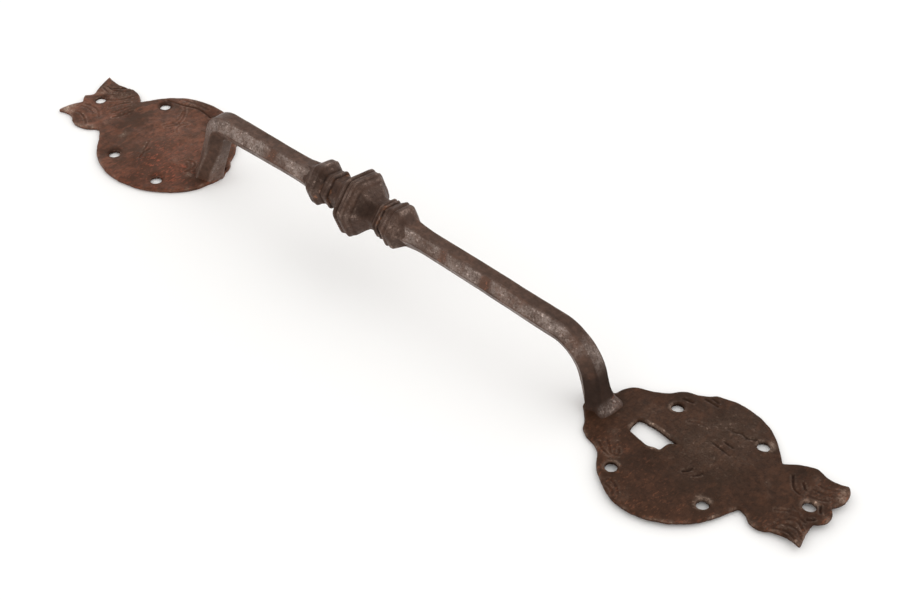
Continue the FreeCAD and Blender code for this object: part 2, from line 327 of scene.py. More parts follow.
def join_rings(ring_count, ring_size, ends):
    """Faces between rings of points. The end rings are each capped, or joined to each other."""
    faces = []
    pairs = [(ring, ring + 1) for ring in range(ring_count - 1)]
    if ends == "joined":
        pairs.append((ring_count - 1, 0))
    for here, there in pairs:
        for index in range(ring_size):
            after = (index + 1) % ring_size
            near, far = here * ring_size, there * ring_size
            faces.append((near + index, near + after, far + after, far + index))
    if ends == "capped":
        last = (ring_count - 1) * ring_size
        faces.append(tuple(range(ring_size - 1, -1, -1)))
        faces.append(tuple(range(last, last + ring_size)))
    return faces


def within_one(bare_and_highlight, rust, grime_and_shade):
    """The three material fields, each kept between 0 and 1."""
    return {"bare_and_highlight": np.clip(bare_and_highlight, 0, 1), "rust": np.clip(rust, 0, 1), "grime_and_shade": np.clip(grime_and_shade, 0, 1)}


# Grip bar ----------------------------------------------------------------------------

def bent_path(corners, rounds, spacing):
    """Straight runs in the XZ plane with an arc at each inner corner."""
    line = [np.array(corners[0], float)]
    for index, radius in enumerate(rounds, start=1):
        corner = np.array(corners[index], float)
        back = np.array(corners[index - 1], float) - corner
        ahead = np.array(corners[index + 1], float) - corner
        back /= np.linalg.norm(back)
        ahead /= np.linalg.norm(ahead)
        half = math.acos(float(np.clip(back @ ahead, -1, 1))) / 2
        middle = (back + ahead) / np.linalg.norm(back + ahead)
        centre = corner + middle * radius / math.sin(half)
        start = corner + back * radius / math.tan(half) - centre
        end = corner + ahead * radius / math.tan(half) - centre
        turn = math.atan2(start[0] * end[1] - start[1] * end[0], float(start @ end))
        for share in np.linspace(0, 1, 24):
            cos, sin = math.cos(turn * share), math.sin(turn * share)
            swung = np.array([start[0] * cos - start[1] * sin, start[0] * sin + start[1] * cos])
            line.append(centre + swung)
    line.append(np.array(corners[-1], float))
    return resample(line, spacing, closed=False)


# The bar's corner radius: (place along X, radius). It swells under the collars.
BAR_PROFILE = [
    (UPPER_FOOT_X, 6.4), (UPPER_BEND_X, 6.4), (-60, 6.0), (-52, 6.2), (-48, 6.8), (7, 7.0), (11, 6.4),
    (15, 5.8), (20, 5.5), (LOWER_BEND_X, 5.9), (LOWER_FOOT_X, 6.1),
]
# Rust patches on the grip's worn near slope: (place along X, half length).
BAR_RUST = [(-70.0, 2.2), (31.0, 2.0), (54.0, 2.4)]
# The brightest wear on the near slope, beside the upper bend, partly a painted highlight: (place along X,
# half length).
BRIGHT_WEAR_AND_HIGHLIGHT = (-86.0, 9.0)


def bar_rings(path, rise):
    """The bar's sections, one ring for each point of its path, before any dents."""
    ahead = np.gradient(path, axis=0)
    ahead /= np.linalg.norm(ahead, axis=1)[:, None]
    out = np.stack([-ahead[:, 1], ahead[:, 0]], 1)
    along_x = path[:, 0]
    centre_line = np.stack([along_x, np.zeros(len(path)), path[:, 1]], 1)
    corner = np.interp(along_x, *zip(*BAR_PROFILE)) * (1 + ripple(centre_line, 22, 4) * 0.02)
    reach = hexagon_reach(TURNS, BAR_SHARPNESS)

    # The legs turn a little as they come down, and their feet step aside, spread and run out.
    sway = ripple(centre_line, 38, 3) * 0.30
    sway += np.where(along_x < 0, UPPER_FOOT_SHIFT, LOWER_FOOT_SHIFT) * (1 - smooth_step(0.0, 26.0, rise))
    turned = 1 - smooth_step(3.0, 22.0, rise)
    upper_spread = 0.15 * (1 - smooth_step(0.0, 14.0, rise))
    lower_spread = 0.24 * (1 - smooth_step(0.0, 10.0, rise))
    spread = np.where(along_x > 0, lower_spread, upper_spread)
    flare = np.exp(-np.clip(rise, 0, None) / 2.2)
    upper_fillet = 0.4 + 1.0 * smooth_step(0.0, 0.9, np.sin(TURNS + UPPER_LEG_TWIST))
    lower_fillet = FOOT_FILLET * smooth_step(0.35, 0.95, np.sin(TURNS + LOWER_LEG_TWIST))
    level = smooth_step(0.0, 10.0, rise)

    rings = []
    for index, (x, z) in enumerate(path):
        fillet, twist = (lower_fillet, LOWER_LEG_TWIST) if x > 0 else (upper_fillet, UPPER_LEG_TWIST)
        size = corner[index] * reach + fillet * flare[index]
        turns = TURNS + turned[index] * twist
        across = size * np.cos(turns) * (1 + spread[index])
        up = size * np.sin(turns)
        normal = out[index] * level[index] + np.array([np.sign(x), 0.0]) * (1 - level[index])
        normal /= np.linalg.norm(normal)
        rings.append(np.stack([x + normal[0] * up, across + sway[index], z + normal[1] * up], 1))
    return np.vstack(rings), centre_line


def bar_wear(points, turns, along_x, rise, dents):
    """Where the bar is worn bare, rusty and grimy, with painted light and shade, at each of its points."""
    near_slope = facet_share(turns, NEAR_SLOPE)
    near_under = facet_share(turns, NEAR_UNDER)
    top = facet_share(turns, TOP)
    edges = corner_share(turns)
    patches = smooth_step(-0.30, 0.35, ripple(points, 8, 21))
    level_run = smooth_step(10, 24, rise)
    lower_leg = (along_x > 0) * (1 - level_run)
    upper_leg = (along_x < 0) * (1 - level_run)
    grip_run = np.where(along_x > 0, smooth_step(21, 28, rise), level_run)
    past_bend = smooth_step(UPPER_BEND_X + 3, UPPER_BEND_X + 9, along_x)
    near_foot = np.exp(-np.clip(rise, 0, None) / 3.0)

    # The hand has worn the slopes and the corners, and light is painted on some facets as well.
    bare_and_highlight = near_slope * (0.35 + 0.65 * patches) * grip_run
    bare_and_highlight += facet_share(turns, FAR_SLOPE) * 0.35 * patches * level_run
    # Painted reflection of the pale floor on the near underside facet, on top of its wear, also on the
    # lower leg.
    bare_and_highlight += near_under * past_bend * ((0.3 + 0.3 * patches) * level_run + 0.45 * lower_leg)
    bare_and_highlight += edges * 0.25 * patches * (1 - lower_leg)
    bright_x, bright_length = BRIGHT_WEAR_AND_HIGHLIGHT
    # Partly painted highlight: the brightest patch on the near slope beside the upper bend.
    bare_and_highlight += np.exp(-((along_x - bright_x) / bright_length) ** 2) * near_slope * 0.8
    # Painted light: the upper leg's inner facet and its edges are lightened where light falls on them, on
    # top of their wear.
    bare_and_highlight += upper_leg * (facet_share(turns, UNDER) * 0.40 + edges * 0.35)
    # Painted highlight on the top facet at the outside of the lower bend.
    painted_bend_highlight = np.exp(-((along_x - LOWER_BEND_X - 0.5) / 3.5) ** 2) * top
    bare_and_highlight += painted_bend_highlight * smooth_step(13, 20, rise) * (0.6 + 0.4 * patches)

    # The lower foot ends in a bright bevel towards the leaf.
    facing_leaf = smooth_step(0.6, 0.85, np.sin(turns + LOWER_LEG_TWIST))
    bevel = smooth_step(0.0, 1.0, rise) * (1 - smooth_step(2.4, 4.6, rise))
    bare_and_highlight += bevel * (along_x > 0) * facing_leaf * 0.6

    rust = smooth_step(0.35, 0.6, ripple(points, 7, 31)) * 0.5
    for spot_x, spot_length in BAR_RUST:
        spot = np.exp(-((along_x - spot_x) / spot_length) ** 2) * near_slope
        rust += spot * 1.4
        bare_and_highlight -= spot * 0.9
    rust += near_foot * (along_x < 0) * 0.5 + near_foot * 0.2

    # Dirt darkens the lower leg and the hollows. The shaded side of the upper leg is darkened with
    # painted shade, and the top of the grip is darker towards the lower end.
    grime_and_shade = lower_leg * (0.95 - 0.80 * near_under) * (1 - 0.5 * near_foot)
    grime_and_shade += lower_leg * near_foot * (1 - facing_leaf) * 0.15
    grime_and_shade += smooth_step(0.1, 0.6, -dents / 0.13) * 0.30
    # Painted shade on the shaded side of the upper leg and bend.
    grime_and_shade += (along_x < 0) * (1 - past_bend) * near_under * 0.32
    grime_and_shade += top * smooth_step(20, 90, along_x) * level_run * 0.32
    grime_and_shade += edges * lower_leg * 0.5 * (1 - near_foot)
    return within_one(bare_and_highlight, rust, grime_and_shade)


def build_grip_bar():
    """The bar with both legs and the feet that spread out onto the plates."""
    path = bent_path(
        [(UPPER_FOOT_X, FOOT_Z), (UPPER_BEND_X, GRIP_HEIGHT), (DIP_START_X, GRIP_HEIGHT),
         (LOWER_BEND_X, LOWER_BEND_Z), (LOWER_FOOT_X, FOOT_Z)],
        BEND_ROUNDS, spacing=0.7)
    rise = path[:, 1] - PLATE_THICK
    points, centre_line = bar_rings(path, rise)
    spokes = points - np.repeat(centre_line, ROUND_COUNT, axis=0)
    spokes /= np.linalg.norm(spokes, axis=1)[:, None]
    dents = ripple(points, 8.0, 11) * 0.09 + ripple(points, 2.6, 12) * 0.04
    points = points + spokes * dents[:, None]
    points[:, 2] = np.maximum(points[:, 2], LOWEST_Z)

    turns = np.tile(TURNS, len(path))
    fields = bar_wear(
        points, turns, np.repeat(path[:, 0], ROUND_COUNT), np.repeat(rise, ROUND_COUNT), dents)
    faces = join_rings(len(path), ROUND_COUNT, "capped")
    new_piece("iron_grip_bar", points, faces, fields, BAR_IRON, "grip_bar")


# Collars -----------------------------------------------------------------------------
# Each row is (distance from the collar's upper end, corner radius). A knop runs out onto the
# bar at its outer end, and its other ends are seams that gather grime and rust.
COLLARS = {
    "upper_knop": [(0, 6.5), (1.8, 6.9), (5.6, 10.3), (6.1, 10.7), (8.4, 10.8), (8.9, 11.0), (9.3, 10.7),
                   (9.7, 9.9), (12.5, 8.4)],
    "upper_ring": [(0, 8.3), (2.4, 8.6), (3.0, 9.1), (3.8, 9.1), (4.5, 8.4)],
    "centre_knop": [(0, 8.1), (2.6, 7.6), (5.0, 9.0), (9.8, 15.1), (10.1, 15.7), (10.8, 15.7), (11.2, 14.7),
                    (11.7, 14.7), (12.1, 15.3), (13.8, 15.3), (14.1, 15.7), (14.5, 15.6), (15.0, 14.7),
                    (16.6, 13.9), (17.0, 12.6), (22.5, 7.9), (25.0, 7.6), (26.7, 8.1)],
    "lower_ring": [(0, 8.3), (0.5, 9.3), (1.0, 9.3), (1.4, 8.5), (2.0, 8.5), (2.4, 9.4), (2.9, 9.3),
                   (3.3, 8.5)],
    "lower_knop": [(0, 8.4), (2.9, 10.2), (3.3, 10.6), (3.9, 10.6), (4.3, 10.0), (5.2, 10.0), (5.6, 10.5),
                   (7.0, 10.4), (11.0, 7.4), (12.2, 6.6), (13.0, 6.2)],
}
# Whether each end is a seam, (upper end, lower end), where it isn't both.
SEAMS = {"upper_knop": (0, 1), "lower_knop": (1, 0)}
# How far wear has rounded each collar's edges along the bar, in millimetres.
WEAR = {"upper_knop": 1.1, "upper_ring": 0.7, "centre_knop": 0.45, "lower_ring": 0.4, "lower_knop": 1.0}


# Makes up for what the soft corners take off a hexagon.
COLLAR_SWELL = 1.015
FINE_COUNT = 600


def collar_profile(name):
    """Fine places along a collar, its worn corner radius there, and how proud of its mean that is."""
    rows = np.array(COLLARS[name], float)
    length = rows[-1, 0]
    fine = np.linspace(0, length, FINE_COUNT)
    sharp = np.interp(fine, rows[:, 0], rows[:, 1])
    worn = np.hanning(max(int(FINE_COUNT * WEAR[name] / length), 5))
    margin = len(worn)
    padded = np.concatenate([np.full(margin, sharp[0]), sharp, np.full(margin, sharp[-1])])
    radius = np.convolve(padded, worn / worn.sum(), "same")[margin:-margin] * COLLAR_SWELL
    span = int(FINE_COUNT * 0.9 / length) * 2 + 1
    broad = np.convolve(np.pad(sharp, span, "edge"), np.ones(span) / span, "same")[span:-span]
    return fine, radius, radius - broad


def collar_wear(name, points, turns, station, length, crest, seed):
    """Where a collar is worn bare, rusty and grimy, with painted highlights; station is the place along it.
    """
    near_slope = facet_share(turns, NEAR_SLOPE)
    patches = smooth_step(-0.3, 0.4, ripple(points, 6, seed + 3))
    specks = smooth_step(0.05, 0.45, ripple(points, 3.5, seed + 4))
    hollow = smooth_step(0.05, 0.40, -crest)
    upper_seam, lower_seam = SEAMS.get(name, (1, 1))
    seam = upper_seam * np.exp(-(station / 0.7) ** 2)
    seam += lower_seam * np.exp(-((length - station) / 0.7) ** 2)

    # Partly painted highlight: the crests and corners are lightened as lit edges, on top of their wear.
    bare_and_highlight = smooth_step(0.05, 0.35, crest) * (0.15 + 0.25 * patches)
    bare_and_highlight += corner_share(turns) * 0.22 * patches + 0.04 * patches
    grime_and_shade = hollow * 0.9 + seam * 0.7
    rust = (seam + hollow * 0.9) * specks
    if name == "centre_knop":
        cone = smooth_step(16.8, 17.6, station) * (1 - smooth_step(24.0, 26.0, station))
        grime_and_shade += cone * (0.15 + 0.5 * near_slope)
        bare_and_highlight += cone * facet_share(turns, NEAR_UNDER) * 0.05
    else:
        bare_and_highlight += 0.14 * patches
    if name == "upper_knop":
        grime_and_shade += smooth_step(5.8, 6.6, station) * near_slope * 0.45
        from_speck = np.abs(turns - math.radians(205)) / math.radians(9)
        speck = np.exp(-((station - 9.9) / 0.6) ** 2 - from_speck ** 2)
        rust += speck * 1.8
        bare_and_highlight += speck * 0.4
    if name == "lower_ring":
        rust += hollow * 0.7
    if name == "lower_knop":
        # Painted highlight: a bright patch on the lower knop's slope where the light glances off it.
        slope = smooth_step(6.9, 7.3, station) * (1 - smooth_step(8.3, 9.3, station))
        from_painted_shine = np.abs(turns - math.radians(100)) / math.radians(15)
        bare_and_highlight += 0.10 * patches
        bare_and_highlight += slope * np.exp(-from_painted_shine ** 4) * 1.1
    return within_one(bare_and_highlight, rust, grime_and_shade)


def build_collar(name, seed):
    """A six-sided forged collar: its outside, its two ends and the bore that the bar fills."""
    start = box_mm(name)[0].x
    fine, radius, crest = collar_profile(name)
    length = fine[-1]
    stations = np.linspace(0, length, max(int(length / 0.16), 8))
    outside = np.interp(stations, fine, radius)

    reach = hexagon_reach(TURNS, COLLAR_SHARPNESS)
    bore = hexagon_reach(TURNS + COLLAR_ROLL, COLLAR_SHARPNESS) * BORE_CORNER
    first, last = outside[0] * reach, outside[-1] * reach
    sections = [(0.0, bore), (0.0, (bore + first) / 2)]
    sections += [(station, corner * reach) for station, corner in zip(stations, outside)]
    sections += [(length, (bore + last) / 2), (length, bore)]
    rolled = TURNS + COLLAR_ROLL
    points = np.vstack([
        np.stack([np.full(ROUND_COUNT, start + station), size * np.cos(rolled),
                  GRIP_HEIGHT + size * np.sin(rolled)], 1) for station, size in sections])
    spokes = points - np.array([0, 0, GRIP_HEIGHT])
    spokes[:, 0] = 0
    spokes /= np.linalg.norm(spokes, axis=1)[:, None]
    shell = smooth_step(6.2, 7.5, np.concatenate([size for station, size in sections]))
    dents = (ripple(points, 6, seed) * 0.09 + ripple(points, 2.2, seed + 1) * 0.045) * shell
    points = points + spokes * dents[:, None]
    points[:, 0] += ripple(points, 9, seed + 2) * 0.18 * shell

    station_all = np.repeat([station for station, size in sections], ROUND_COUNT)
    fields = collar_wear(
        name, points, np.tile(TURNS, len(sections)), station_all, length,
        np.interp(station_all, fine, crest), seed)
    faces = join_rings(len(sections), ROUND_COUNT, "joined")
    new_piece("iron_" + name, points, faces, fields, COLLAR_IRON, name)


# Plates --------------------------------------------------------------------------------

def flat_loops(node):
    """The closed outlines of a plate's back face in millimetres, the outer one first."""
    bm = bmesh.new()
    bm.from_mesh(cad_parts[node].data)
    bmesh.ops.remove_doubles(bm, verts=bm.verts, dist=1e-6)
    back = {face for face in bm.faces if all(abs(vert.co.z) < 1e-6 for vert in face.verts)}
    beside = {}
    for edge in bm.edges:
        if sum(face in back for face in edge.link_faces) == 1:
            first, second = edge.verts
            beside.setdefault(first, []).append(second)
            beside.setdefault(second, []).append(first)
    loops = []
    while beside:
        start = next(iter(beside))
        loop, here, before = [start], start, None
        while True:
            after = next(vert for vert in beside[here] if vert is not before)
            if after is start:
                break
            loop.append(after)
            before, here = here, after
        for vert in loop:
            del beside[vert]
        loops.append([(vert.co.x / MM, vert.co.y / MM) for vert in loop])
    bm.free()
    return sorted(loops, key=lambda loop: -np.ptp(np.array(loop)[:, 0]))


def inside_odd(points, loops):
    """Whether each point lies inside an odd number of the loops."""
    inside = np.zeros(len(points), bool)
    x, y = points[:, 0], points[:, 1]
    for loop in loops:
        for (x0, y0), (x1, y1) in zip(loop, np.roll(loop, -1, axis=0)):
            if y0 == y1:
                continue
            crosses = (y0 > y) != (y1 > y)
            inside ^= crosses & (x < (x1 - x0) * (y - y0) / (y1 - y0) + x0)
    return inside


def soften(loop, passes):
    """A closed loop with its corners worn a little."""
    for _ in range(passes):
        loop = (np.roll(loop, 1, axis=0) + 2 * loop + np.roll(loop, -1, axis=0)) / 4
    return loop


def outward(loop):
    """A unit vector out of the loop, at each of its points."""
    ahead = np.roll(loop, -1, axis=0) - np.roll(loop, 1, axis=0)
    x, y = loop[:, 0], loop[:, 1]
    area = np.sum(x * np.roll(y, -1) - np.roll(x, -1) * y)
    side = np.stack([ahead[:, 1], -ahead[:, 0]], 1) * np.sign(area)
    return side / np.linalg.norm(side, axis=1)[:, None]


def rounded_edge(distance, radius):
    """How far a rounded edge drops below the flat, at a distance from the edge."""
    share = np.clip(1 - distance / radius, 0, 1)
    return radius * (1 - np.sqrt(1 - share ** 2))


# Chased lines, measured from the centre of each plate's disc in the frame's own axes.
UPPER_LINES = [
    [(-16.5, 24), (-13, 21), (-9.5, 16), (-8.5, 11), (-11, 6.5)],
    [(-14.5, 21.5), (-11, 15), (-10.6, 11), (-12.5, 7)],
    [(-5, 16), (-6.5, 12.5), (-5.3, 9), (-2.5, 7)],
    [(-8, -6), (-5.5, -10), (-3.5, -14)],
    [(17, -4), (21, -3), (23.5, -6), (23, -10.5)],
    [(19, -6.5), (21, -7.5), (21, -10)],
    [(-22, 28), (-15, 29.5), (-7, 31)],
    [(-59.3, 8.2), (-55.1, 7.3), (-51.2, 7.3), (-47.6, 10.1), (-45.4, 13.3)],
    [(-59.6, 10.4), (-54.6, 10.1), (-50.7, 12), (-47.3, 15.6)],
    [(-51.1, 2.8), (-47.6, 4.3), (-44.5, 8.8), (-42.9, 13.2)],
    [(-58.2, -11.6), (-54.8, -8.7), (-50.3, -8), (-46.5, -9.2)],
    [(-55.4, -15), (-52.2, -13.3), (-47.1, -14.3), (-41.8, -17.3)],
    [(-55.4, -6.4), (-51.2, -5.4), (-46.7, -5.9), (-41.7, -9.3)],
    [(-44.3, -0.3), (-42.7, 4.7), (-40, 8.8)],
    [(-39.7, -2.9), (-38.4, 1.7), (-37.4, 6.6)],
    [(-36.4, -5), (-34.4, -0.3), (-33.4, 5.2)],
]
UPPER_CUTS = [
    [(-3, -10), (-2.8, -14), (-1, -18)],
    [(-28, 23), (-22, 24), (-17, 25.5), (-10, 28), (-1, 27)],
    [(-57.1, 10.3), (-53.8, 12.7), (-50.5, 16.3)],
]
LOWER_LINES = [
    [(-16.5, -31), (-14, -30.6), (-11, -32.3), (-8.5, -34.5)],
    [(-15.5, -33.3), (-12.5, -34), (-10, -36)],
    [(-29.5, -14), (-26.5, -16.5), (-24, -19), (-21, -18.5)],
    [(-31.5, -17), (-27.5, -19.5), (-23.5, -20.5)],
    [(-23, -15), (-21.5, -17)],
    [(-11.5, 15.2), (-8.5, 17.2), (-4.5, 18)],
    [(43.3, -4.2), (45.2, -0.4), (48.8, 0.9), (52.4, -1.2)],
    [(42.6, -7.8), (44.8, -3.8), (48.3, -2.3), (51.8, -3), (54, -5)],
    [(42.1, -9.6), (44.8, -7.1), (48.4, -5.8), (52, -6.7)],
    [(44.4, 1.5), (47.3, 3.2), (50.8, 2.7)],
    [(44.6, 22.1), (48.1, 22.2), (51.9, 24.6)],
    [(44, 18.8), (48.2, 19.2), (52.6, 20.7)],
    [(44, 14.6), (47.6, 15.2), (51.5, 17.2)],
    [(39.4, 0.3), (43, 3), (47.1, 4.3)],
]
LOWER_CUTS = [
    [(2.5, 23), (5.5, 23), (8, 24.3), (11, 23.6), (13.5, 25), (16, 25.2)],
    [(2.5, 12.3), (11.5, 11)],
    [(6, 15.8), (10, 15.2)],
    [(2.5, -8), (4, -6.3), (4.4, -4.3)],
    [(6.8, -7.2), (8.3, -5.5), (8.7, -3.5)],
    [(-14, 30.8), (-8, 30.6)],
    [(-12, 33), (-9, 32.6)],
    [(-21, 25), (-16.5, 25.6)],
    [(34.9, 19.6), (36.9, 16.5), (38.9, 14.2), (41.7, 13.3)],
    [(39.7, 19.1), (42.3, 16.6)],
    [(50.7, 13.2), (52.4, 10.6)],
    [(50.7, 4.2), (52.4, 6)],
]
# Where orange flecks gather: (x, y, radius, strength), from the centre of the disc.
UPPER_RUST = [(12, -4, 17, 0.9), (4, -24, 13, 0.6), (-42, -2, 12, 0.4), (20, -18, 10, 0.7)]
LOWER_RUST = [
    (-27, -17, 12, 0.5), (-6, -33, 14, 0.5), (16, -28, 10, 0.35), (48, 19, 8, 0.5), (42, -6, 8, 0.3),
    (55, 24, 3, 0.9), (56.5, 9, 2.5, 0.8), (53.6, -1.9, 2, 0.8),
]
# Where handling has worn the metal pale: (x, y, radius, strength).
UPPER_WORN = [
    (-59.6, -14.8, 1.8, 1.0), (-58, -16.8, 1.3, 1.0), (-55.5, -15.4, 1.2, 0.9), (-58.7, -11.2, 1.6, 0.7),
    (-43.4, -20, 1.3, 0.7), (-58.5, 3.1, 1.3, 0.6), (-56.3, 5.1, 1.3, 0.6), (-40.5, -18, 1.6, 0.5),
    (-38.4, -16, 1.5, 0.4), (-20.9, -11.6, 1.5, 0.4), (-49.9, 5.6, 1.0, 0.6), (26, -11, 1.3, 0.6),
    (2, 4, 13, 0.07),
]
LOWER_WORN = [
    (54.5, 25.3, 2.2, 0.7), (55.3, 21.6, 2.0, 0.9), (54.6, -8.6, 1.6, 0.8), (42.4, 24.5, 1.5, 0.4),
    (56.3, 9.6, 1.5, 0.5), (37.3, -11.6, 1.5, 0.5), (15.6, -15.0, 1.4, 1.0), (18.6, -13.6, 1.2, 0.7),
    (20.8, 26.6, 1.3, 1.0), (19.6, 28.0, 1.0, 0.7), (45.4, 12.4, 1.2, 1.0), (48.6, 13.5, 1.2, 0.9),
    (2, 8, 15, 0.12), (6, 26, 13, 0.09), (-30, -9, 2, 0.3), (-27, -12, 1.5, 0.3), (-26, 10, 6, 0.08),
]
# Where soot and painted shade lie deep: (x, y, radius, strength).
UPPER_SOOT_AND_SHADE = [
    (-26.5, 20.6, 3, 0.6), (-14.6, -21.2, 3, 0.6), (15.2, -20.8, 3, 0.6), (-53.5, 4.5, 2.5, 0.5),
    (-53, 11, 5, 0.5), (-47, 13, 5, 0.4), (-31, 3, 6, 0.35), (-25, -9, 6, 0.35), (-50, -15, 4, 0.25),
    (4, 27, 7, 0.5), (-6, 30, 5, 0.4), (14, 25, 6, 0.4), (2, -16, 8, 0.35), (-24, -22, 6, 0.3),
    (27, -8, 5, 0.4), (34, -12, 6, 0.5), (22, -28, 7, 0.45), (6, -33, 6, 0.35), (-28, 0, 14, 0.12),
    (0, -28, 14, 0.12),
]
LOWER_SOOT_AND_SHADE = [
    (49.5, -7.6, 3, 0.6), (50, 4.5, 3, 0.45), (51, 12, 2.5, 0.45), (36, 22, 5, 0.3), (-10, -12, 9, 0.3),
]
# The keyhole was cut with a chisel: a ragged outline in place of the CAD rectangle.
KEYHOLE = [
    (-26.5, -4), (-27.1, 0), (-27.1, 3.6), (-24.5, 4.3), (-16, 3.8), (-8.5, 2.6), (-6.8, 2.2),
    (-9, 1.2), (-10, 0.5), (-10.5, -0.5), (-10.7, -5), (-14, -5.3), (-16, -6.3), (-20.5, -5.2),
]
KEYHOLE_MIDDLE = (-18.8, -0.4)

# Each plate's marks and its form in millimetres: hammer is the height of its swells, bow the rise
# of its middle, near_lift the rise of its near edge, dish the depth that the holes are set in, and
# burr the height of their rims. worn_corner is (x, y, radius) of a corner that is worn round, and
# leaf_bend is (rise at the tip, start, end, sideways drift for each millimetre of rise).
UPPER_PLATE = SimpleNamespace(
    node="upper_plate", disc_x=UPPER_DISC_X, seed=200, iron=UPPER_IRON, slot="upper_plate_iron",
    lines=UPPER_LINES, cuts=UPPER_CUTS, rust=UPPER_RUST, worn=UPPER_WORN, soot_and_shade=UPPER_SOOT_AND_SHADE,
    hammer=0.42, bow=0.7, near_lift=0.3, dish=0.35, burr=0.05,
    keyhole=None, worn_corner=None, leaf_bend=None)
LOWER_PLATE = SimpleNamespace(
    node="lower_plate", disc_x=LOWER_DISC_X, seed=300, iron=LOWER_IRON, slot="lower_plate_iron",
    lines=LOWER_LINES, cuts=LOWER_CUTS, rust=LOWER_RUST, worn=LOWER_WORN, soot_and_shade=LOWER_SOOT_AND_SHADE,
    hammer=0.22, bow=1.2, near_lift=1.3, dish=0.0, burr=0.28,
    keyhole=KEYHOLE, worn_corner=(-45.8, -8.0, 6.0), leaf_bend=(2.4, 22.0, 56.0, (0.74, -0.84)))

DISC_RADIUS = 38.0
LOOP_SPACING = 0.55
# How often the loops are softened: all of them a little, and the worn corner a lot.
LOOP_PASSES = 3
CORNER_PASSES = 90
GRID_PITCH = 0.8
LINE_DEPTH = 0.17
CUT_DEPTH = 0.60


def spread_spots(flat, disc_x, spots):
    """How strongly the soft round spots, (x, y, radius, strength), cover each point."""
    cover = np.zeros(len(flat))
    for x, y, radius, strength in spots:
        cover += strength * np.exp(-np.sum((flat - (disc_x + x, y)) ** 2, axis=1) / radius ** 2)
    return cover


def chased(disc_x, marks):
    """Closely spaced points along all of a plate's marks."""
    return np.vstack([stroke([(x + disc_x, y) for x, y in mark]) for mark in marks])


def worn_loops(plate):
    """A plate's outline and its holes, softened, worn and ragged. The outline comes first."""
    loops = flat_loops(plate.node)
    if plate.keyhole:
        middle = np.array([plate.disc_x + KEYHOLE_MIDDLE[0], KEYHOLE_MIDDLE[1]])
        loops = [loop for loop in loops if np.linalg.norm(np.mean(loop, axis=0) - middle) > 3]
        loops.append([(x + plate.disc_x, y) for x, y in plate.keyhole])
    loops = [soften(resample(loop, LOOP_SPACING, closed=True), LOOP_PASSES) for loop in loops]
    if plate.worn_corner:
        corner_x, corner_y, radius = plate.worn_corner
        from_corner = np.linalg.norm(loops[0] - (plate.disc_x + corner_x, corner_y), axis=1)
        share = np.exp(-(from_corner / radius) ** 4)[:, None]
        loops[0] = loops[0] * (1 - share) + soften(loops[0], CORNER_PASSES) * share
    for index, loop in enumerate(loops):
        seed = plate.seed + index
        flat = np.column_stack([loop, np.full(len(loop), 2.0)])
        rag = ripple(flat, 4.5, seed) * 0.28 + ripple(flat, 1.6, seed + 9) * 0.12
        loops[index] = loop + outward(loop) * rag[:, None]
    return loops


def scattered(loops, marks, seed):
    """Points inside a plate: rows along its loops, rows along its marks and a loose grid between."""
    rims = np.vstack(loops)
    low, high = rims.min(0), rims.max(0)
    across = np.arange(low[0], high[0], GRID_PITCH)
    up = np.arange(low[1], high[1], GRID_PITCH * 0.866)
    grid = np.array([(x + (row % 2) * GRID_PITCH / 2, y) for row, y in enumerate(up) for x in across])
    random = np.random.default_rng(seed)
    grid = grid + random.uniform(-0.12, 0.12, grid.shape)
    inner = []
    for index, loop in enumerate(loops):
        inward = -outward(loop) if index == 0 else outward(loop)
        inner += [loop + inward * step for step in (0.28, 0.65)]
    beside = [marks[::2] + np.array([shift, shift]) for shift in (0, 0.3, -0.3, 0.6, -0.6)]
    rows = np.vstack(inner + beside)
    rows = rows[inside_odd(rows, loops)]
    rows = rows[nearest(rows, rims) > 0.2]
    grid = grid[inside_odd(grid, loops)]
    grid = grid[nearest(grid, np.vstack([rims, rows])) > 0.5]
    return np.vstack([rows, grid])


def triangulated(loops, inside):
    """A plate's flat points, and the triangles between its outline and its holes."""
    flat = [Vector(p) for p in np.vstack([*loops, inside])]
    edges, first = [], 0
    for loop in loops:
        edges += [(first + k, first + (k + 1) % len(loop)) for k in range(len(loop))]
        first += len(loop)
    flat, _, triangles, *_ = geometry.delaunay_2d_cdt(flat, edges, [], 0, 1e-4)
    flat = np.array([tuple(p) for p in flat])
    triangles = np.array([tri for tri in triangles if len(tri) == 3])
    return flat, triangles[inside_odd(flat[triangles].mean(1), loops)]


